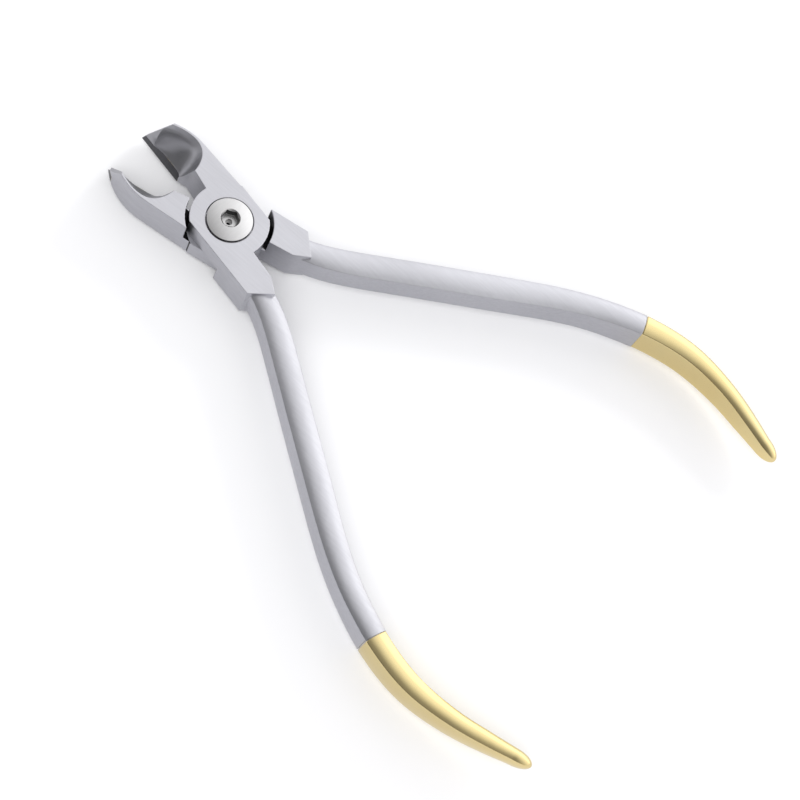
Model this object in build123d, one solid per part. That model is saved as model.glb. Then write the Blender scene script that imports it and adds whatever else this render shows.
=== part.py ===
from build123d import *
import os

# All sizes in millimetres. Both halves are drawn closed, with the pivot axis on Z,
# the jaws along +Y and the front faces at Z = 0, then swung apart to the rest pose.

# Forged stock
THICKNESS = 8.0
OPEN_ANGLE = 11.0

# Lap joint
LAP_RADIUS = 7.3
SHOULDER_GAP = 0.8
LAP_GAP = 0.04

# Jaw
JAW_LENGTH = 24.1
JAW_ROOT_WIDTH = 6.1
JAW_WIDTH = 5.4
JAW_CHEEK_WIDTH = 4.2
TIP_CURVE_LENGTH = 9.8
BLADE_LENGTH = 10.4
EDGE_CLEARANCE = 0.03
HEEL_RELIEF = 0.8
HEEL_SLOPE = 2.1
NOTCH_INSET = 0.25

# Hollow grind on the front of the jaw
RIM_WIDTH = 1.1
HOLLOW_SAG = 1.0

# Carbide cutting strip and its braze
INSERT_WIDTH = 1.8
INSERT_HEIGHT = 1.6
INSERT_BEVEL = 0.75
BRAZE_GAP = 0.1
SLOT_RUNOUT = 1.0

# Shank between the lap joint and the handle
SHANK_OUTER = 6.2
SHANK_LENGTH = 12.9
SHANK_STEP = 3.0
SHANK_INNER_TOP = 0.3
SHANK_INNER_END = 2.1
SHANK_INNER_FLARE = 0.3

# Handle stations down the inner edge: across, down, width in plan, height
HANDLE_STATIONS = [
    (1.7, 9.0, 3.4, 6.0),
    (1.3, 14.0, 4.2, 6.6),
    (2.6, 19.8, 4.5, 6.7),
    (7.8, 32.1, 4.7, 6.8),
    (14.0, 45.9, 4.7, 6.9),
    (20.6, 60.6, 4.4, 7.1),
    (23.1, 68.2, 4.2, 7.3),
    (24.7, 76.1, 4.0, 7.6),
    (24.9, 84.4, 3.7, 7.4),
    (23.0, 93.2, 3.1, 6.7),
    (20.3, 100.0, 2.7, 5.6),
    (18.4, 104.4, 2.3, 4.6),
]
CROWN_RISE = 0.7
SIDE_BULGE = 0.2
TIP_DROP = 3.4
TIP_WIDTH = 1.2
TIP_HEIGHT = 2.6
GOLD_START = 75.0
PLATING = 0.2

# Pivot screw
HEAD_RADIUS = 4.2
HEAD_GAP = 0.25
COUNTERBORE_DEPTH = 1.6
HEAD_FLOAT = 0.03
HEAD_PROUD = 0.25
HEAD_DOME = 0.8
SHOULDER_RADIUS = 3.0
BORE_CLEARANCE = 0.04
THREAD_RADIUS = 2.8
END_DOME = 0.9
SOCKET_FLATS = 3.0
SOCKET_MOUTH_RADIUS = 2.05
SOCKET_DEPTH = 1.9
PILOT_RADIUS = 0.6
PILOT_DEPTH = 1.0

BACK_FACE = -THICKNESS
LAP_PLANE = -THICKNESS / 2
SHOULDER_ARC = LAP_RADIUS + SHOULDER_GAP
HEEL_Y = JAW_LENGTH - BLADE_LENGTH
CHEEK_Y = JAW_LENGTH - TIP_CURVE_LENGTH
INSERT_TOP = BACK_FACE + INSERT_HEIGHT


def jaw_outline() -> Face:
    """Plan of the jaw on +X, from the pivot to the tip."""
    outer = Line((JAW_ROOT_WIDTH, 0), (JAW_WIDTH, CHEEK_Y))
    cheek = ThreePointArc(
        (JAW_WIDTH, CHEEK_Y),
        (JAW_CHEEK_WIDTH, JAW_LENGTH - TIP_CURVE_LENGTH / 2),
        (EDGE_CLEARANCE, JAW_LENGTH),
    )
    inner = Polyline(
        (EDGE_CLEARANCE, JAW_LENGTH),
        (EDGE_CLEARANCE, HEEL_Y),
        (HEEL_RELIEF, HEEL_Y - HEEL_SLOPE),
        (NOTCH_INSET, LAP_RADIUS),
        (NOTCH_INSET, 0),
        (JAW_ROOT_WIDTH, 0),
    )
    return make_face([outer, cheek, inner])


def shank_outline() -> Face:
    """Plan of the raised shank pad on -X, ending in the oblique step."""
    return make_face(
        Polyline(
            (0, 0),
            (-SHANK_OUTER, 0),
            (-SHANK_OUTER, -SHANK_LENGTH),
            (-SHANK_INNER_END, -SHANK_LENGTH - SHANK_STEP),
            (-SHANK_INNER_TOP - SHANK_INNER_FLARE, -SHANK_LENGTH),
            (-SHANK_INNER_TOP, -LAP_RADIUS),
            (0, 0),
        )
    )


def hollow_section(width: float, heel: float, level: float) -> Sketch:
    """One level of the hollow grind: an open-sided scoop seen from the front."""
    top = JAW_LENGTH - RIM_WIDTH
    curve = Spline(
        (-SLOT_RUNOUT, heel - 0.5),
        (0.55 * width, heel + 0.2),
        (width, heel + 2.0),
        (0.9 * width, top - 4.0),
        (-SLOT_RUNOUT, top + 0.6),
    )
    side = Line((-SLOT_RUNOUT, top + 0.6), (-SLOT_RUNOUT, heel - 0.5))
    return Pos(0, 0, level) * Sketch(make_face([curve, side]).wrapped)


def hollow_grind() -> Part:
    """Concave relief from the front rim down to the top of the carbide strip."""
    rim_x = JAW_WIDTH - RIM_WIDTH
    run = rim_x - INSERT_BEVEL
    floor = INSERT_TOP + BRAZE_GAP
    levels = []
    for share in (1.15, 1.0, 0.7, 0.4, 0.15, 0.0):
        bow = 4 * HOLLOW_SAG * max(share * (1 - share), 0.0)
        width = INSERT_BEVEL + run * share + bow
        levels.append(hollow_section(width, HEEL_Y - HEEL_SLOPE * share, floor * (1 - share)))
    return loft(levels)


def strip_prism(extra: float) -> Part:
    """Carbide strip, or strip and braze together when grown by the braze gap."""
    top = INSERT_TOP + extra
    corners = [
        (EDGE_CLEARANCE, BACK_FACE),
        (INSERT_WIDTH + extra, BACK_FACE),
        (INSERT_WIDTH + extra, top),
        (INSERT_BEVEL, top),
    ]
    if extra > 0:
        corners.append((INSERT_BEVEL, INSERT_TOP))
    face = Plane.XZ * make_face(Polyline(*corners, close=True))
    return Pos(0, JAW_LENGTH, 0) * extrude(face, amount=BLADE_LENGTH + extra)


def strip_slot() -> Part:
    """Open slot along the cutting edge that takes the strip and its braze."""
    wide = INSERT_WIDTH + BRAZE_GAP + SLOT_RUNOUT
    high = INSERT_HEIGHT + BRAZE_GAP
    long = BLADE_LENGTH + BRAZE_GAP + SLOT_RUNOUT
    slot = Box(wide, long, high, align=(Align.MIN, Align.MIN, Align.MIN))
    return Pos(-SLOT_RUNOUT, HEEL_Y - BRAZE_GAP, BACK_FACE) * slot


def station_frame(index: int) -> tuple[Plane, float, float]:
    """Section plane, width and height at one handle station."""
    across, down, width, height = HANDLE_STATIONS[index]
    before = HANDLE_STATIONS[max(index - 1, 0)]
    after = HANDLE_STATIONS[min(index + 1, len(HANDLE_STATIONS) - 1)]
    run = Vector(-(after[0] - before[0]), -(after[1] - before[1]), 0).normalized()
    out = Vector(run.Y, -run.X, 0)
    plane = Plane(origin=(-across, -down, LAP_PLANE), x_dir=out, z_dir=run)
    return plane, width, height


def handle_section(plane: Plane, width: float, height: float, inset: float) -> Sketch:
    """Flat inner side, crowned top and bottom, gently bowed outer side."""
    half = height / 2 - inset
    edge = half - CROWN_RISE
    near = inset
    far = width - inset
    lines = [
        Line((near, -edge), (near, edge)),
        ThreePointArc((near, edge), ((near + far) / 2, half), (far, edge)),
        ThreePointArc((far, edge), (far + SIDE_BULGE, 0), (far, -edge)),
        ThreePointArc((far, -edge), ((near + far) / 2, -half), (near, -edge)),
    ]
    return plane * Sketch(make_face(lines).wrapped)


def handle_body(inset: float) -> Part:
    """Smooth handle through every station, closed by a small rounded tip."""
    sections = []
    for index in range(len(HANDLE_STATIONS)):
        plane, width, height = station_frame(index)
        sections.append(handle_section(plane, width, height, inset))
    plane, width, height = station_frame(len(HANDLE_STATIONS) - 1)
    end = plane.origin + plane.z_dir * (TIP_DROP - inset) + plane.x_dir * (width - TIP_WIDTH) / 2
    tip = Plane(origin=end, x_dir=plane.x_dir, z_dir=plane.z_dir)
    sections.append(handle_section(tip, TIP_WIDTH, TIP_HEIGHT, inset))
    return loft(sections)


def gold_plane() -> Plane:
    """Plane across the handle where the plating starts, facing the tip."""
    for index in range(1, len(HANDLE_STATIONS)):
        before = HANDLE_STATIONS[index - 1]
        after = HANDLE_STATIONS[index]
        if before[1] <= GOLD_START <= after[1]:
            share = (GOLD_START - before[1]) / (after[1] - before[1])
            across = before[0] + share * (after[0] - before[0])
            run = Vector(before[0] - after[0], before[1] - after[1], 0).normalized()
            return Plane(origin=(-across, -GOLD_START, LAP_PLANE), x_dir=(0, 0, 1), z_dir=run)
    raise ValueError("the plating starts outside the handle")


def half_blank() -> tuple[Part, Part, Part, Part]:
    """Full-thickness half with the jaw on +X: steel, strip, braze and plating."""
    band = Pos((JAW_ROOT_WIDTH - SHANK_OUTER) / 2, 0) * Rectangle(JAW_ROOT_WIDTH + SHANK_OUTER, 4 * LAP_RADIUS)
    stock = jaw_outline() + shank_outline() + (Circle(LAP_RADIUS) & band)
    stock = extrude(stock, amount=-THICKNESS)
    jaw = extrude(jaw_outline(), amount=-THICKNESS)
    hollow = hollow_grind()
    strip = strip_prism(0) & jaw
    braze = (strip_prism(BRAZE_GAP) & jaw) - strip
    outer = handle_body(0)
    core = handle_body(PLATING)
    cut = gold_plane()
    steel = stock - hollow - strip_slot()
    steel = steel + split(outer, bisect_by=cut, keep=Keep.BOTTOM)
    steel = steel + split(core, bisect_by=cut, keep=Keep.TOP)
    plating = split(outer, bisect_by=cut, keep=Keep.TOP) - core
    return steel, strip, braze, plating


def lap_pocket(front: bool) -> Part:
    """Space that the other half's disc and shoulder gap take at the lap joint."""
    depth = THICKNESS / 2 + LAP_GAP / 2
    pocket = Cylinder(SHOULDER_ARC, depth, align=(Align.CENTER, Align.CENTER, Align.MIN))
    if front:
        return Pos(0, 0, BACK_FACE) * pocket
    return Pos(0, 0, LAP_PLANE - LAP_GAP / 2) * pocket


def front_hole() -> Part:
    """Running bore and head counterbore through the front half."""
    up = (Align.CENTER, Align.CENTER, Align.MAX)
    bore = Cylinder(SHOULDER_RADIUS + BORE_CLEARANCE, THICKNESS, align=up)
    return bore + Cylinder(HEAD_RADIUS + HEAD_GAP, COUNTERBORE_DEPTH, align=up)


def pivot_screw() -> Part:
    """Domed hex-socket head, bearing shoulder and threaded end with a domed tip."""
    seat = -COUNTERBORE_DEPTH + HEAD_FLOAT
    ledge = LAP_PLANE - LAP_GAP / 2
    crown = HEAD_PROUD + HEAD_DOME
    profile = [
        Polyline(
            (0, crown),
            (0, BACK_FACE - END_DOME),
        ),
        ThreePointArc(
            (0, BACK_FACE - END_DOME),
            (THREAD_RADIUS * 0.6, BACK_FACE - END_DOME * 0.68),
            (THREAD_RADIUS, BACK_FACE),
        ),
        Polyline(
            (THREAD_RADIUS, BACK_FACE),
            (THREAD_RADIUS, ledge),
            (SHOULDER_RADIUS, ledge),
            (SHOULDER_RADIUS, seat),
            (HEAD_RADIUS, seat),
            (HEAD_RADIUS, HEAD_PROUD),
        ),
        ThreePointArc(
            (HEAD_RADIUS, HEAD_PROUD),
            (HEAD_RADIUS * 0.62, HEAD_PROUD + HEAD_DOME * 0.66),
            (0, crown),
        ),
    ]
    body = revolve(Plane.XZ * make_face(profile), axis=Axis.Z)
    floor = crown - SOCKET_DEPTH
    hexagon = RegularPolygon(SOCKET_FLATS / 2, 6, major_radius=False)
    socket = Pos(0, 0, floor) * extrude(hexagon, amount=SOCKET_DEPTH + 1)
    mouth = Pos(0, 0, crown) * Cone(SOCKET_FLATS / 2, SOCKET_MOUTH_RADIUS + 0.3, 1.0)
    pilot = Pos(0, 0, floor) * Cylinder(PILOT_RADIUS, 2 * PILOT_DEPTH)
    return body - socket - mouth - pilot


def thread_hole() -> Part:
    """Hole in the back half that the screw's thread fills."""
    return Cylinder(THREAD_RADIUS, 4 * THICKNESS)


def main() -> None:
    """Build every piece, swing the halves to the rest pose and write them."""
    os.makedirs("parts", exist_ok=True)
    steel, strip, braze, plating = half_blank()
    swing = Rot(0, 0, -OPEN_ANGLE)
    unswing = Rot(0, 0, OPEN_ANGLE)
    front = {
        "front_half": steel - lap_pocket(True) - front_hole(),
        "front_carbide_insert": strip,
        "front_braze": braze,
        "front_gold_plating": plating,
    }
    back = {
        "back_half": mirror(steel, about=Plane.YZ) - lap_pocket(False) - thread_hole(),
        "back_carbide_insert": mirror(strip, about=Plane.YZ),
        "back_braze": mirror(braze, about=Plane.YZ),
        "back_gold_plating": mirror(plating, about=Plane.YZ),
    }
    for node, shape in front.items():
        export_step(swing * shape, f"parts/{node}.step")
    for node, shape in back.items():
        export_step(unswing * shape, f"parts/{node}.step")
    export_step(pivot_screw(), "parts/pivot_screw.step")


main()
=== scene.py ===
import logging
import math
from collections.abc import Iterable
from dataclasses import dataclass, field, replace
from enum import Enum

import bmesh
import bpy
import numpy as np
from mathutils import Matrix, Vector


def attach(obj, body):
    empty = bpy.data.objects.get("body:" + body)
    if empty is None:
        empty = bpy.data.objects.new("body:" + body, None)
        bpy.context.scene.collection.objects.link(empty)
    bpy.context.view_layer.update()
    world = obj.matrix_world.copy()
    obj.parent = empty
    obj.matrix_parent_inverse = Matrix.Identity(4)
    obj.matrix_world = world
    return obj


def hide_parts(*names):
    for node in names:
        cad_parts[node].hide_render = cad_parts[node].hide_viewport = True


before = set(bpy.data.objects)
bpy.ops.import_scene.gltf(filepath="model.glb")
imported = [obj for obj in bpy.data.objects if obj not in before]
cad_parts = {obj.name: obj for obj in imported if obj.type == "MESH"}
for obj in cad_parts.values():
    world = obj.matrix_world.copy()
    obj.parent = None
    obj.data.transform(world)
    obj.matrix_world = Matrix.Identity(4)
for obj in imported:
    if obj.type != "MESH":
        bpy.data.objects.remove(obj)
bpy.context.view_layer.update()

LOG = logging.getLogger("pliers")
MM = 0.001

OPEN_ANGLE = 11.0
MID_PLANE = -4.0
FLOOR_LEVEL = -9.0
GOLD_START = 75.0
PLATING = 0.2
CROWN_RISE = 0.7
SIDE_BULGE = 0.2
# A little longer than in the CAD, so that the skin closes over the core's end.
TIP_DROP = 3.75
TIP_GRIND_START = 20.6
TIP_GRIND_RUN = 3.5
TIP_GRIND_DROP = 7.5
TIP_BEVEL_START = 20.5
TIP_BEVEL_FOOT = (0.2, -6.3)
TIP_BEVEL_HEAD = (2.9, 0.0)
HOLLOW_START = 10.5
# Near-black painted shade for the lap joint's gap and the screw's hex socket.
PAINTED_SHADE = (0.012, 0.012, 0.013)

# Mesh handling: corners closer than this are one, in metres.
MERGE_DISTANCE = 0.000002
CUT_TOLERANCE = 0.0000005
SMOOTH_ANGLE = 28.0

# Shares of the fine streaks and of the slow drift in a metal's tone.
STREAK_SHARE = 0.45
DRIFT_SHARE = 0.55
DRIFT_SCALE = 55.0
BUMP_STRENGTH = 0.5
BEVEL_SAMPLES = 6
GRAIN_ANGLE = 28.0

# Z share of the normal from where a jaw face counts as hollow, and up to where.
HOLLOW_FROM = (0.06, 0.14)
HOLLOW_UNTIL = (0.97, 0.9)

# Least sizes at the closed end of the plating, in mm, and the gap under the skin.
LEAST_SHARE = 0.05
LEAST_WIDTH = 0.05
LEAST_HALF = 0.03
LINING_GAP = 0.02

# Tones of the studio; the metal sees the world as a ramp from left to right.
FLOOR_REACH = 3.0
FLOOR_ROUGHNESS = 0.9
FLOOR_WHITE = (0.95, 0.95, 0.955, 1.0)
FLOOR_IN_METAL = (0.66, 0.66, 0.675, 1.0)
WORLD_WHITE = (0.72, 0.72, 0.735, 1.0)
DARK_END = (0.09, 0.09, 0.095, 1.0)
BRIGHT_END = (1.5, 1.5, 1.5, 1.0)
RAMP_TONES = ((0.3, 0.28), (0.5, 0.67), (0.66, 0.93), (0.8, 1.06), (0.91, 1.4))
COOL_TINT = 1.015
SENSOR_WIDTH = 36.0
NEAR_CLIP = 0.01

# Handle stations, as in the CAD: across, down, width in plan, height (mm, closed).
STATIONS = np.array(
    [
        (1.7, 9.0, 3.4, 6.0),
        (1.3, 14.0, 4.2, 6.6),
        (2.6, 19.8, 4.5, 6.7),
        (7.8, 32.1, 4.7, 6.8),
        (14.0, 45.9, 4.7, 6.9),
        (20.6, 60.6, 4.4, 7.1),
        (23.1, 68.2, 4.2, 7.3),
        (24.7, 76.1, 4.0, 7.6),
        (24.9, 84.4, 3.7, 7.4),
        (23.0, 93.2, 3.1, 6.7),
        (20.3, 100.0, 2.7, 5.6),
        (18.4, 104.4, 2.3, 4.6),
    ]
)


class Side(Enum):
    """Which half of the tool a piece belongs to."""

    FRONT = "front"
    BACK = "back"

    @property
    def sign(self) -> float:
        """-1 where the handle lies on -X, +1 where it lies on +X."""
        return -1.0 if self is Side.FRONT else 1.0


class Grain(Enum):
    """How the surface was finished."""

    BRUSHED = "brushed"
    GROUND = "ground"
    POLISHED = "polished"


@dataclass(frozen=True)
class Ring:
    """Zone about the pivot that is painted near-black as shade, in the lap joint's gap and the screw's
    hex socket.

    Args:
        inner: inner radius in mm.
        outer: outer radius in mm.
        bottom: lower limit in mm.
        top: upper limit in mm.
        wall: least share of the normal along the radius.
        floor: least share of the normal along Z.
        aside: least distance from the plane of the jaws' edges in mm.
    """

    inner: float
    outer: float
    bottom: float
    top: float
    wall: float
    floor: float
    aside: float = -1.0

    def values(self) -> dict[str, float]:
        """Socket values of the ring mask, in metres."""
        return {
            "Inner": self.inner * MM,
            "Outer": self.outer * MM,
            "Bottom": self.bottom * MM,
            "Top": self.top * MM,
            "Wall": self.wall,
            "Floor": self.floor,
            "Aside": self.aside * MM,
        }


# Painted shade on the walls and floor of the lap joint's gap between the two halves.
LAP_GAP_SHADE = Ring(7.2, 8.2, -7.7, -0.3, wall=0.97, floor=0.9, aside=2.1)
# Painted shade in the screw's hex socket, on its walls and on its floor.
SOCKET_WALL_SHADE = Ring(1.2, 1.85, -2.0, 0.7, wall=0.8, floor=2.0)
SOCKET_FLOOR_SHADE = Ring(-1.0, 0.35, -2.0, 0.3, wall=2.0, floor=0.4)


@dataclass(frozen=True)
class Finish:
    """One metal finish.

    Args:
        name: material name.
        dark: colour in the low streaks.
        light: colour in the high streaks.
        rough: lowest and highest roughness.
        grain: kind of surface finish.
        angle: direction of the streaks about Z, in degrees from +Y.
        bump: bump height in metres.
        edge: radius of the softened edges in metres.
        anisotropy: stretch of the highlights along the grain.
        hollow: colour of the hollow-ground jaw faces, where the piece has them.
        shade_zones: zones painted near-black as shade, in gaps and recesses.
    """

    name: str
    dark: tuple[float, float, float]
    light: tuple[float, float, float]
    rough: tuple[float, float]
    grain: Grain = Grain.BRUSHED
    angle: float = 0.0
    bump: float = 0.00001
    edge: float = 0.0002
    anisotropy: float = 0.0
    hollow: tuple[float, float, float] | None = None
    shade_zones: tuple[Ring, ...] = ()

    def scale(self) -> tuple[float, float, float]:
        """Noise cycles per metre across, along and through the grain."""
        scales = {
            Grain.BRUSHED: (2600.0, 170.0, 1700.0),
            Grain.GROUND: (500.0, 4200.0, 900.0),
            Grain.POLISHED: (160.0, 160.0, 160.0),
        }
        return scales[self.grain]

    def build(self) -> bpy.types.Material:
        """Make the procedural material.

        Returns:
            The new material.
        """
        mat = bpy.data.materials.new(self.name)
        mat.use_nodes = True
        nodes = mat.node_tree.nodes
        link = mat.node_tree.links.new
        shader = nodes["Principled BSDF"]
        shader.inputs["Metallic"].default_value = 1.0
        shader.inputs["Anisotropic"].default_value = self.anisotropy
        coords = nodes.new("ShaderNodeTexCoord")
        mapping = nodes.new("ShaderNodeMapping")
        mapping.inputs["Rotation"].default_value = (0.0, 0.0, math.radians(self.angle))
        mapping.inputs["Scale"].default_value = self.scale()
        streaks = nodes.new("ShaderNodeGroup")
        streaks.node_tree = streak_group()
        tint = nodes.new("ShaderNodeMix")
        tint.data_type = "RGBA"
        tint.inputs["A"].default_value = (*self.dark, 1.0)
        tint.inputs["B"].default_value = (*self.light, 1.0)
        gloss = nodes.new("ShaderNodeMapRange")
        gloss.inputs["To Min"].default_value = self.rough[1]
        gloss.inputs["To Max"].default_value = self.rough[0]
        bevel = nodes.new("ShaderNodeBevel")
        bevel.samples = BEVEL_SAMPLES
        bevel.inputs["Radius"].default_value = self.edge
        bump = nodes.new("ShaderNodeBump")
        bump.inputs["Strength"].default_value = BUMP_STRENGTH
        bump.inputs["Distance"].default_value = self.bump
        link(coords.outputs["Object"], mapping.inputs["Vector"])
        link(mapping.outputs["Vector"], streaks.inputs["Grain"])
        link(coords.outputs["Object"], streaks.inputs["Place"])
        link(streaks.outputs["Tone"], tint.inputs["Factor"])
        link(streaks.outputs["Streak"], gloss.inputs["Value"])
        link(streaks.outputs["Streak"], bump.inputs["Height"])
        link(bevel.outputs["Normal"], bump.inputs["Normal"])
        colour = tint.outputs["Result"]
        if self.hollow is not None:
            ground = nodes.new("ShaderNodeGroup")
            ground.node_tree = hollow_group()
            swap = nodes.new("ShaderNodeMix")
            swap.data_type = "RGBA"
            swap.inputs["B"].default_value = (*self.hollow, 1.0)
            link(coords.outputs["Object"], ground.inputs["Place"])
            link(ground.outputs["Hollow"], swap.inputs["Factor"])
            link(colour, swap.inputs["A"])
            colour = swap.outputs["Result"]
        # Painted shade: the ring zones in gaps and recesses are mixed to near-black.
        for ring in self.shade_zones:
            zone = nodes.new("ShaderNodeGroup")
            zone.node_tree = shade_ring_group()
            for socket, value in ring.values().items():
                zone.inputs[socket].default_value = value
            shade_mix = nodes.new("ShaderNodeMix")
            shade_mix.data_type = "RGBA"
            shade_mix.inputs["B"].default_value = (*PAINTED_SHADE, 1.0)
            link(coords.outputs["Object"], zone.inputs["Place"])
            link(coords.outputs["Normal"], zone.inputs["Normal"])
            link(zone.outputs["Mask"], shade_mix.inputs["Factor"])
            link(colour, shade_mix.inputs["A"])
            colour = shade_mix.outputs["Result"]
        link(colour, shader.inputs["Base Color"])
        link(gloss.outputs["Result"], shader.inputs["Roughness"])
        link(bump.outputs["Normal"], shader.inputs["Normal"])
        return mat


def streak_group() -> bpy.types.NodeTree:
    """Shared grain: fine streaks, and a tone that also drifts slowly over the piece."""
    name = "metal_streaks"
    if name in bpy.data.node_groups:
        return bpy.data.node_groups[name]
    tree = bpy.data.node_groups.new(name, "ShaderNodeTree")
    face = tree.interface
    face.new_socket("Grain", in_out="INPUT", socket_type="NodeSocketVector")
    face.new_socket("Place", in_out="INPUT", socket_type="NodeSocketVector")
    face.new_socket("Streak", in_out="OUTPUT", socket_type="NodeSocketFloat")
    face.new_socket("Tone", in_out="OUTPUT", socket_type="NodeSocketFloat")
    nodes = tree.nodes
    link = tree.links.new
    entry = nodes.new("NodeGroupInput")
    leave = nodes.new("NodeGroupOutput")
    fine = nodes.new("ShaderNodeTexNoise")
    fine.inputs["Scale"].default_value = 1.0
    fine.inputs["Detail"].default_value = 3.0
    drift = nodes.new("ShaderNodeTexNoise")
    drift.inputs["Scale"].default_value = DRIFT_SCALE
    drift.inputs["Detail"].default_value = 2.0
    tone = nodes.new("ShaderNodeMath")
    tone.operation = "MULTIPLY_ADD"
    tone.inputs[1].default_value = STREAK_SHARE
    share = nodes.new("ShaderNodeMath")
    share.operation = "MULTIPLY"
    share.inputs[1].default_value = DRIFT_SHARE
    link(entry.outputs["Grain"], fine.inputs["Vector"])
    link(entry.outputs["Place"], drift.inputs["Vector"])
    link(drift.outputs["Fac"], share.inputs[0])
    link(fine.outputs["Fac"], tone.inputs[0])
    link(share.outputs["Value"], tone.inputs[2])
    link(fine.outputs["Fac"], leave.inputs["Streak"])
    link(tone.outputs["Value"], leave.inputs["Tone"])
    return tree


def hollow_group() -> bpy.types.NodeTree:
    """Mask of the hollow-ground jaw faces: forward of the joint and sloping."""
    name = "hollow_mask"
    if name in bpy.data.node_groups:
        return bpy.data.node_groups[name]
    tree = bpy.data.node_groups.new(name, "ShaderNodeTree")
    tree.interface.new_socket("Place", in_out="INPUT", socket_type="NodeSocketVector")
    tree.interface.new_socket("Hollow", in_out="OUTPUT", socket_type="NodeSocketFloat")
    nodes = tree.nodes
    link = tree.links.new
    entry = nodes.new("NodeGroupInput")
    leave = nodes.new("NodeGroupOutput")
    place = nodes.new("ShaderNodeSeparateXYZ")
    forward = nodes.new("ShaderNodeMath")
    forward.operation = "GREATER_THAN"
    forward.inputs[1].default_value = HOLLOW_START * MM
    facing = nodes.new("ShaderNodeNewGeometry")
    tilt = nodes.new("ShaderNodeSeparateXYZ")
    slope = nodes.new("ShaderNodeMapRange")
    slope.inputs["From Min"].default_value = HOLLOW_FROM[0]
    slope.inputs["From Max"].default_value = HOLLOW_FROM[1]
    flat = nodes.new("ShaderNodeMapRange")
    flat.inputs["From Min"].default_value = HOLLOW_UNTIL[0]
    flat.inputs["From Max"].default_value = HOLLOW_UNTIL[1]
    both = nodes.new("ShaderNodeMath")
    both.operation = "MULTIPLY"
    mask = nodes.new("ShaderNodeMath")
    mask.operation = "MULTIPLY"
    link(entry.outputs["Place"], place.inputs["Vector"])
    link(place.outputs["Y"], forward.inputs[0])
    link(facing.outputs["Normal"], tilt.inputs["Vector"])
    link(tilt.outputs["Z"], slope.inputs["Value"])
    link(tilt.outputs["Z"], flat.inputs["Value"])
    link(slope.outputs["Result"], both.inputs[0])
    link(flat.outputs["Result"], both.inputs[1])
    link(both.outputs["Value"], mask.inputs[0])
    link(forward.outputs["Value"], mask.inputs[1])
    link(mask.outputs["Value"], leave.inputs["Hollow"])
    return tree


def shade_ring_group() -> bpy.types.NodeTree:
    """Mask of a ring about the pivot, on walls that face the axis or on floors, where shade is painted
    in.
    """
    name = "ring_mask"
    if name in bpy.data.node_groups:
        return bpy.data.node_groups[name]
    tree = bpy.data.node_groups.new(name, "ShaderNodeTree")
    for socket in ("Place", "Normal"):
        tree.interface.new_socket(socket, in_out="INPUT", socket_type="NodeSocketVector")
    for socket in ("Inner", "Outer", "Bottom", "Top", "Wall", "Floor", "Aside"):
        tree.interface.new_socket(socket, in_out="INPUT", socket_type="NodeSocketFloat")
    tree.interface.new_socket("Mask", in_out="OUTPUT", socket_type="NodeSocketFloat")
    nodes = tree.nodes
    link = tree.links.new
    entry = nodes.new("NodeGroupInput")
    leave = nodes.new("NodeGroupOutput")

    def combine(operation: str, *values: bpy.types.NodeSocket) -> bpy.types.NodeSocket:
        """Add a math node fed by the given sockets."""
        node = nodes.new("ShaderNodeMath")
        node.operation = operation
        for socket, value in zip(node.inputs, values):
            link(value, socket)
        return node.outputs["Value"]

    place = nodes.new("ShaderNodeSeparateXYZ")
    facing = nodes.new("ShaderNodeSeparateXYZ")
    plan = nodes.new("ShaderNodeCombineXYZ")
    radius = nodes.new("ShaderNodeVectorMath")
    radius.operation = "LENGTH"
    outward = nodes.new("ShaderNodeVectorMath")
    outward.operation = "NORMALIZE"
    along = nodes.new("ShaderNodeVectorMath")
    along.operation = "DOT_PRODUCT"
    link(entry.outputs["Place"], place.inputs["Vector"])
    link(entry.outputs["Normal"], facing.inputs["Vector"])
    link(place.outputs["X"], plan.inputs["X"])
    link(place.outputs["Y"], plan.inputs["Y"])
    link(plan.outputs["Vector"], radius.inputs[0])
    link(plan.outputs["Vector"], outward.inputs[0])
    link(entry.outputs["Normal"], along.inputs[0])
    link(outward.outputs["Vector"], along.inputs[1])
    beyond = combine("GREATER_THAN", radius.outputs["Value"], entry.outputs["Inner"])
    within = combine("LESS_THAN", radius.outputs["Value"], entry.outputs["Outer"])
    above = combine("GREATER_THAN", place.outputs["Z"], entry.outputs["Bottom"])
    below = combine("LESS_THAN", place.outputs["Z"], entry.outputs["Top"])
    wall = combine("GREATER_THAN", combine("ABSOLUTE", along.outputs["Value"]), entry.outputs["Wall"])
    level = combine("GREATER_THAN", combine("ABSOLUTE", facing.outputs["Z"]), entry.outputs["Floor"])
    aside = combine("GREATER_THAN", combine("ABSOLUTE", place.outputs["X"]), entry.outputs["Aside"])
    zone = combine("MULTIPLY", combine("MULTIPLY", beyond, within), combine("MULTIPLY", above, below))
    zone = combine("MULTIPLY", zone, aside)
    link(combine("MULTIPLY", zone, combine("MAXIMUM", wall, level)), leave.inputs["Mask"])
    return tree


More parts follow.
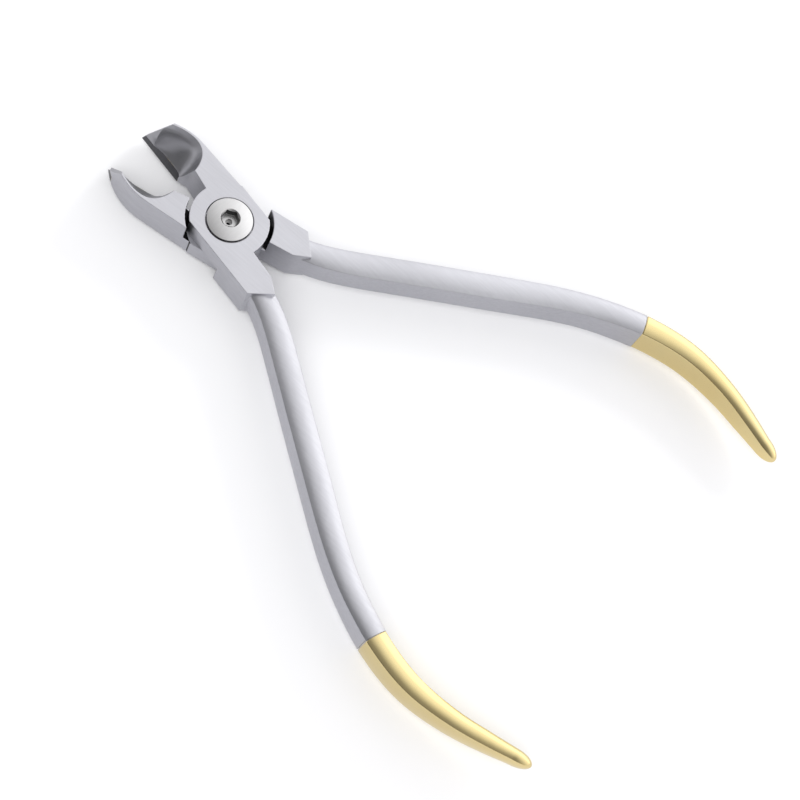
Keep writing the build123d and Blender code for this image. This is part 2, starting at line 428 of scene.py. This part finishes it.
def smooth_group() -> bpy.types.NodeTree:
    """Geometry nodes that join split corners and shade curved faces smoothly."""
    name = "smooth_by_angle"
    if name in bpy.data.node_groups:
        return bpy.data.node_groups[name]
    tree = bpy.data.node_groups.new(name, "GeometryNodeTree")
    tree.interface.new_socket("Geometry", in_out="INPUT", socket_type="NodeSocketGeometry")
    tree.interface.new_socket("Geometry", in_out="OUTPUT", socket_type="NodeSocketGeometry")
    nodes = tree.nodes
    link = tree.links.new
    entry = nodes.new("NodeGroupInput")
    leave = nodes.new("NodeGroupOutput")
    merge = nodes.new("GeometryNodeMergeByDistance")
    merge.inputs["Distance"].default_value = MERGE_DISTANCE
    faces = nodes.new("GeometryNodeSetShadeSmooth")
    edges = nodes.new("GeometryNodeSetShadeSmooth")
    edges.domain = "EDGE"
    angle = nodes.new("GeometryNodeInputMeshEdgeAngle")
    below = nodes.new("FunctionNodeCompare")
    below.operation = "LESS_THAN"
    below.inputs["B"].default_value = math.radians(SMOOTH_ANGLE)
    link(entry.outputs[0], merge.inputs["Geometry"])
    link(merge.outputs["Geometry"], faces.inputs["Geometry"])
    link(faces.outputs["Geometry"], edges.inputs["Geometry"])
    link(angle.outputs["Unsigned Angle"], below.inputs["A"])
    link(below.outputs["Result"], edges.inputs["Shade Smooth"])
    link(edges.outputs["Geometry"], leave.inputs[0])
    return tree


STEEL_DARK = (0.55, 0.55, 0.58)
STEEL_LIGHT = (0.78, 0.78, 0.82)
HOLLOW_TONE = (0.47, 0.47, 0.49)
FRONT_STEEL = Finish(
    "satin_steel_front",
    STEEL_DARK,
    STEEL_LIGHT,
    (0.28, 0.42),
    angle=GRAIN_ANGLE,
    anisotropy=0.3,
    hollow=HOLLOW_TONE,
    shade_zones=(LAP_GAP_SHADE,),
)
BACK_STEEL = replace(FRONT_STEEL, name="satin_steel_back", angle=-GRAIN_ANGLE)
CARBIDE = Finish(
    "ground_carbide",
    (0.1, 0.1, 0.105),
    (0.2, 0.2, 0.21),
    (0.28, 0.42),
    Grain.GROUND,
    edge=0.00004,
)
BRAZE = Finish(
    "braze_line",
    (0.42, 0.38, 0.28),
    (0.56, 0.52, 0.42),
    (0.3, 0.45),
    Grain.POLISHED,
    edge=0.00002,
)
SCREW = Finish(
    "satin_screw",
    (0.64, 0.635, 0.63),
    (0.84, 0.835, 0.83),
    (0.28, 0.4),
    Grain.GROUND,
    edge=0.00012,
    shade_zones=(SOCKET_WALL_SHADE, SOCKET_FLOOR_SHADE),
)
GOLD = Finish(
    "polished_gold",
    (0.98, 0.76, 0.34),
    (1.0, 0.86, 0.46),
    (0.08, 0.17),
    Grain.POLISHED,
    bump=0.00012,
    edge=0.0,
)


def shade_smooth(obj: bpy.types.Object) -> None:
    """Add the smooth shading to one piece as a modifier."""
    shade = obj.modifiers.new("smooth_by_angle", "NODES")
    shade.node_group = smooth_group()


@dataclass
class CadPieces:
    """The CAD nodes that stay visible, with their finishes."""

    finishes: dict[str, Finish]
    made: dict[str, bpy.types.Material] = field(default_factory=dict)

    def material(self, finish: Finish) -> bpy.types.Material:
        """Material of a finish, made once."""
        if finish.name not in self.made:
            self.made[finish.name] = finish.build()
        return self.made[finish.name]

    def dress(self) -> None:
        """Give every listed node its material and smooth shading."""
        for node, finish in self.finishes.items():
            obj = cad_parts[node]
            obj.data.materials.clear()
            obj.data.materials.append(self.material(finish))
            shade_smooth(obj)
            LOG.info("dressed %s with %s", node, finish.name)


@dataclass
class GroundHalf:
    """One forged half whose jaw tip is ground back to the cutting edge."""

    side: Side

    def cut(
        self,
        form: bmesh.types.BMesh,
        faces: Iterable[bmesh.types.BMFace],
        place: Vector,
        facing: Vector,
    ) -> None:
        """Cut some faces by a plane, drop what lies beyond it and close the cut.

        Args:
            form: mesh to cut.
            faces: faces the plane may cut.
            place: point on the plane, in mm.
            facing: direction of what is dropped.
        """
        chosen = list(faces)
        edges = {edge for face in chosen for edge in face.edges}
        corners = {corner for face in chosen for corner in face.verts}
        cut = bmesh.ops.bisect_plane(
            form,
            geom=[*corners, *edges, *chosen],
            dist=CUT_TOLERANCE,
            plane_co=place * MM,
            plane_no=facing.normalized(),
            clear_outer=True,
        )
        rim = [part for part in cut["geom_cut"] if isinstance(part, bmesh.types.BMEdge)]
        bmesh.ops.triangle_fill(form, use_beauty=True, edges=rim)

    def build(self, material: bpy.types.Material) -> bpy.types.Object:
        """Trim a copy of the CAD half at the tip and let it stand for the half.

        Args:
            material: finish of the half.

        Returns:
            The new object.
        """
        node = f"{self.side.value}_half"
        turn = Matrix.Rotation(math.radians(OPEN_ANGLE * self.side.sign), 3, "Z")
        forward = turn @ Vector((0.0, 1.0, 0.0))
        form = bmesh.new()
        form.from_mesh(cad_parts[node].data)
        bmesh.ops.remove_doubles(form, verts=form.verts, dist=MERGE_DISTANCE)
        slope = Vector((0.0, TIP_GRIND_DROP, TIP_GRIND_RUN))
        self.cut(form, form.faces, turn @ Vector((0.0, TIP_GRIND_START, 0.0)), turn @ slope)
        bmesh.ops.bisect_plane(
            form,
            geom=[*form.verts, *form.edges, *form.faces],
            dist=CUT_TOLERANCE,
            plane_co=forward * TIP_BEVEL_START * MM,
            plane_no=forward,
        )
        start = TIP_BEVEL_START * MM
        tip = [face for face in form.faces if face.calc_center_median().dot(forward) > start]
        foot, head = TIP_BEVEL_FOOT, TIP_BEVEL_HEAD
        bevel = Vector((self.side.sign * (head[1] - foot[1]), 0.0, head[0] - foot[0]))
        self.cut(form, tip, turn @ Vector((-self.side.sign * foot[0], 0.0, foot[1])), turn @ bevel)
        bmesh.ops.recalc_face_normals(form, faces=form.faces)
        open_edges = sum(not edge.is_manifold for edge in form.edges)
        mesh = bpy.data.meshes.new(f"{node}_ground")
        form.to_mesh(mesh)
        form.free()
        mesh.materials.append(material)
        obj = bpy.data.objects.new(f"{node}_ground", mesh)
        bpy.context.scene.collection.objects.link(obj)
        shade_smooth(obj)
        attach(obj, self.side.value)
        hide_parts(node)
        LOG.info("built %s, open edges %d", obj.name, open_edges)
        return obj


@dataclass
class GoldEnd:
    """Polished plated skin over the end of one handle."""

    side: Side
    steps: int = 120
    around: int = 160
    tip_steps: int = 14

    def spine(self) -> tuple[np.ndarray, np.ndarray]:
        """Sample the handle's inner edge from the plating's start to the tip.

        Returns:
            Points (x, y) with width and height per row, and unit tangents.
        """
        chord = np.concatenate([[0.0], np.cumsum(np.hypot(*np.diff(STATIONS[:, :2], axis=0).T))])
        slope = np.gradient(STATIONS, chord, axis=0)
        start = np.interp(GOLD_START, STATIONS[:, 1], chord)
        at = np.linspace(start, chord[-1], self.steps)
        cell = np.clip(np.searchsorted(chord, at, side="right") - 1, 0, len(chord) - 2)
        length = (chord[cell + 1] - chord[cell])[:, None]
        t = ((at - chord[cell])[:, None]) / length
        rows = (
            (2 * t**3 - 3 * t**2 + 1) * STATIONS[cell]
            + (t**3 - 2 * t**2 + t) * length * slope[cell]
            + (-2 * t**3 + 3 * t**2) * STATIONS[cell + 1]
            + (t**3 - t**2) * length * slope[cell + 1]
        )
        run = np.gradient(rows[:, :2], axis=0)
        run /= np.linalg.norm(run, axis=1, keepdims=True)
        return rows, run

    def outline(self) -> tuple[np.ndarray, np.ndarray]:
        """Unit section of the handle.

        Returns:
            Share of the width, and edge, crown and bulge weights, for each point around.
        """
        quarter = self.around // 4
        u = np.linspace(0.0, 1.0, quarter, endpoint=False)
        across = np.concatenate([np.zeros(quarter), u, np.ones(quarter), 1.0 - u])
        bow = 4.0 * u * (1.0 - u)
        edge = np.concatenate([2.0 * u - 1.0, np.ones(quarter), 1.0 - 2.0 * u, -np.ones(quarter)])
        crown = np.concatenate([np.zeros(quarter), bow, np.zeros(quarter), -bow])
        bulge = np.concatenate([np.zeros(2 * quarter), bow, np.zeros(quarter)])
        return across, np.stack([edge, crown * CROWN_RISE, bulge * SIDE_BULGE], axis=1)

    def sections(self, inset: float) -> np.ndarray:
        """Points of every section in mm, closed pose, handle on -X.

        Args:
            inset: distance in from the plated surface, in mm.

        Returns:
            Array of sections, points around and coordinates.
        """
        rows, run = self.spine()
        bend = np.sin(np.linspace(0.0, math.pi / 2, self.tip_steps + 1))[1:]
        fall = np.cos(np.linspace(0.0, math.pi / 2, self.tip_steps + 1))[1:]
        last = rows[-1]
        end_run = run[-1]
        reach = (TIP_DROP - inset) * bend
        shrink = np.maximum(fall, LEAST_SHARE)
        tail = np.tile(last, (self.tip_steps, 1))
        tail[:, :2] += end_run * reach[:, None]
        tail[:, 2] = last[2] * shrink
        tail[:, 3] = last[3] * shrink
        out = np.stack([run[:, 1], -run[:, 0]], axis=1)
        shift = (last[2] - tail[:, 2]) / 2
        tail[:, 0] += out[-1, 0] * shift
        tail[:, 1] += out[-1, 1] * shift
        rows = np.concatenate([rows, tail])
        out = np.concatenate([out, np.tile(out[-1], (self.tip_steps, 1))])
        across, form = self.outline()
        shrunk = np.concatenate([np.ones(self.steps), shrink])[:, None]
        width = np.maximum(rows[:, 2:3] - 2 * inset, LEAST_WIDTH)
        half = np.maximum(rows[:, 3:4] / 2 - inset - CROWN_RISE * shrunk, LEAST_HALF)
        lateral = inset * np.minimum(shrunk, 1.0) + across * width + form[:, 2] * shrunk
        rise = half * form[:, 0] + form[:, 1] * shrunk
        window = np.array([-1, 0, 1])
        lateral = np.mean([np.roll(lateral, k, axis=1) for k in window], axis=0)
        rise = np.mean([np.roll(rise, k, axis=1) for k in window], axis=0)
        x = rows[:, 0:1] + out[:, 0:1] * lateral
        y = rows[:, 1:2] + out[:, 1:2] * lateral
        return np.stack([-x, -y, MID_PLANE + rise], axis=2)

    def place(self, points: np.ndarray) -> np.ndarray:
        """Swing closed points to the rest pose of this half, in metres."""
        turn = math.radians(-OPEN_ANGLE)
        spin = np.array([[math.cos(turn), -math.sin(turn)], [math.sin(turn), math.cos(turn)]])
        moved = points.copy()
        moved[..., :2] = points[..., :2] @ spin.T
        moved[..., 0] *= -self.side.sign
        return moved * MM

    def build(self, material: bpy.types.Material) -> bpy.types.Object:
        """Make the shell, put it on its body and hide the CAD plating.

        Args:
            material: finish of the shell.

        Returns:
            The new object.
        """
        outer = self.place(self.sections(0.0))
        count = self.around // 4 * 4
        levels = outer.shape[0]
        inner = self.place(self.sections(PLATING - LINING_GAP))
        vertices = np.concatenate([outer.reshape(-1, 3), inner.reshape(-1, 3)])
        ring = np.arange(count)
        after = np.roll(ring, -1)
        base = (np.arange(levels - 1) * count)[:, None]
        skin = np.stack([base + ring, base + after, base + count + after, base + count + ring], axis=2)
        skin = skin.reshape(-1, 4)
        total = levels * count
        lining = skin[:, ::-1] + total
        lip = np.stack([ring + total, after + total, after, ring], axis=1)
        quads = np.concatenate([skin, lining, lip])
        caps = np.stack([ring + total - count, (ring + 2 * total - count)[::-1]])
        step = -1 if self.side is Side.BACK else 1
        faces = [*quads[:, ::step].tolist(), *caps[:, ::step].tolist()]
        mesh = bpy.data.meshes.new(f"{self.side.value}_gold_end")
        mesh.from_pydata(vertices.tolist(), [], faces)
        mesh.polygons.foreach_set("use_smooth", np.ones(len(faces), dtype=bool))
        mesh.materials.append(material)
        mesh.validate()
        obj = bpy.data.objects.new(f"{self.side.value}_gold_end", mesh)
        bpy.context.scene.collection.objects.link(obj)
        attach(obj, self.side.value)
        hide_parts(f"{self.side.value}_gold_plating")
        LOG.info("built %s with %d faces", obj.name, len(faces))
        return obj


@dataclass(frozen=True)
class Lamp:
    """Square soft light.

    Args:
        name: name of the lamp.
        place: place in the photograph's plane, in mm from the pivot.
        size: side of the square in metres.
        power: power in watts.
    """

    name: str
    place: tuple[float, float, float]
    size: float
    power: float


LAMP_AIM = (45.0, -40.0, 0.0)
LAMPS = (
    Lamp("key", (520.0, 330.0, 230.0), 0.26, 2.0),
    Lamp("top", (-240.0, -260.0, 620.0), 0.6, 2.4),
)


@dataclass
class Studio:
    """White floor, soft light and the camera of the photograph."""

    pivot_pixel: tuple[float, float] = (229.7, 220.0)
    image_size: float = 800.0
    focal_pixels: float = 2200.0
    pixels_per_mm: float = 5.6
    jaw_direction: float = 135.45
    view_direction: tuple[float, float, float] = (-0.26, -0.333, 0.906)
    bright_side: tuple[float, float, float] = (0.92, 0.36, 0.16)

    def to_cad(self, vector: Vector) -> Vector:
        """Turn a vector from the photograph's plane into the CAD frame."""
        turn = math.radians(self.jaw_direction - 90.0)
        return Matrix.Rotation(-turn, 3, "Z") @ vector

    def camera(self) -> None:
        """Create the camera so that the pivot falls on its pixel."""
        back = Vector(self.view_direction).normalized()
        right = Vector((1.0, 0.0, 0.0))
        right = (right - back * right.dot(back)).normalized()
        up = back.cross(right)
        distance = self.focal_pixels / self.pixels_per_mm
        half = self.image_size / 2
        aside = (self.pivot_pixel[0] - half) / self.pixels_per_mm
        above = (half - self.pivot_pixel[1]) / self.pixels_per_mm
        place = back * distance - right * aside - up * above
        axes = [self.to_cad(axis) for axis in (right, up, back)]
        pose = Matrix((axes[0], axes[1], axes[2])).transposed().to_4x4()
        pose.translation = self.to_cad(place) * MM
        data = bpy.data.cameras.new("camera")
        data.sensor_width = SENSOR_WIDTH
        data.lens = SENSOR_WIDTH * self.focal_pixels / self.image_size
        data.clip_start = NEAR_CLIP
        camera = bpy.data.objects.new("camera", data)
        camera.matrix_world = pose
        bpy.context.scene.collection.objects.link(camera)
        bpy.context.scene.camera = camera

    def floor(self) -> None:
        """Pale floor: white to the camera, greyer in the reflections."""
        mesh = bpy.data.meshes.new("floor")
        signs = ((-1, -1), (1, -1), (1, 1), (-1, 1))
        corners = [(FLOOR_REACH * x, FLOOR_REACH * y, FLOOR_LEVEL * MM) for x, y in signs]
        mesh.from_pydata(corners, [], [(0, 1, 2, 3)])
        mat = bpy.data.materials.new("floor_white")
        mat.use_nodes = True
        nodes = mat.node_tree.nodes
        link = mat.node_tree.links.new
        shader = nodes["Principled BSDF"]
        shader.inputs["Roughness"].default_value = FLOOR_ROUGHNESS
        shader.inputs["Specular IOR Level"].default_value = 0.0
        path = nodes.new("ShaderNodeLightPath")
        tone = nodes.new("ShaderNodeMix")
        tone.data_type = "RGBA"
        tone.inputs["A"].default_value = FLOOR_WHITE
        tone.inputs["B"].default_value = FLOOR_IN_METAL
        link(path.outputs["Is Glossy Ray"], tone.inputs["Factor"])
        link(tone.outputs["Result"], shader.inputs["Base Color"])
        mesh.materials.append(mat)
        floor = bpy.data.objects.new("floor", mesh)
        bpy.context.scene.collection.objects.link(floor)

    def world(self) -> None:
        """White surround that the metal sees as dark on the left and bright on the right."""
        world = bpy.data.worlds.new("studio")
        bpy.context.scene.world = world
        world.use_nodes = True
        nodes = world.node_tree.nodes
        link = world.node_tree.links.new
        background = nodes["Background"]
        coords = nodes.new("ShaderNodeTexCoord")
        aside = nodes.new("ShaderNodeVectorMath")
        aside.operation = "DOT_PRODUCT"
        aside.inputs[1].default_value = self.to_cad(Vector(self.bright_side).normalized())
        span = nodes.new("ShaderNodeMapRange")
        span.inputs["From Min"].default_value = -1.0
        ramp = nodes.new("ShaderNodeValToRGB")
        tones = ramp.color_ramp.elements
        tones[0].position = 0.0
        tones[0].color = DARK_END
        tones[1].position = 1.0
        tones[1].color = BRIGHT_END
        for position, level in RAMP_TONES:
            tones.new(position).color = (level, level, level * COOL_TINT, 1.0)
        path = nodes.new("ShaderNodeLightPath")
        pick = nodes.new("ShaderNodeMix")
        pick.data_type = "RGBA"
        pick.inputs["A"].default_value = WORLD_WHITE
        link(coords.outputs["Generated"], aside.inputs[0])
        link(aside.outputs["Value"], span.inputs["Value"])
        link(span.outputs["Result"], ramp.inputs["Fac"])
        link(path.outputs["Is Glossy Ray"], pick.inputs["Factor"])
        link(ramp.outputs["Color"], pick.inputs["B"])
        link(pick.outputs["Result"], background.inputs["Color"])
        background.inputs["Strength"].default_value = 1.0

    def light(self, lamp: Lamp) -> None:
        """Add one lamp aimed at the tool; it lights the floor and is not seen in the metal."""
        data = bpy.data.lights.new(lamp.name, "AREA")
        data.size = lamp.size
        data.energy = lamp.power
        obj = bpy.data.objects.new(lamp.name, data)
        obj.visible_glossy = False
        spot = self.to_cad(Vector(lamp.place)) * MM
        aim = self.to_cad(Vector(LAMP_AIM)) * MM
        turn = (spot - aim).to_track_quat("Z", "Y").to_matrix().to_4x4()
        obj.matrix_world = Matrix.Translation(spot) @ turn
        bpy.context.scene.collection.objects.link(obj)

    def build(self) -> None:
        """Set up floor, light and camera."""
        scene = bpy.context.scene
        scene.view_settings.view_transform = "Standard"
        self.floor()
        self.world()
        for lamp in LAMPS:
            self.light(lamp)
        self.camera()
        LOG.info("studio ready")


def main() -> None:
    """Dress the tool, grind its tips, plate its handle ends and set up the studio."""
    logging.basicConfig(level=logging.INFO)
    cad = CadPieces(
        {
            "front_carbide_insert": CARBIDE,
            "back_carbide_insert": CARBIDE,
            "front_braze": BRAZE,
            "back_braze": BRAZE,
            "pivot_screw": SCREW,
        }
    )
    cad.dress()
    steel = {Side.FRONT: cad.material(FRONT_STEEL), Side.BACK: cad.material(BACK_STEEL)}
    gold = cad.material(GOLD)
    for side in Side:
        GroundHalf(side).build(steel[side])
        GoldEnd(side).build(gold)
    Studio().build()


if __name__ == "__main__":
    main()
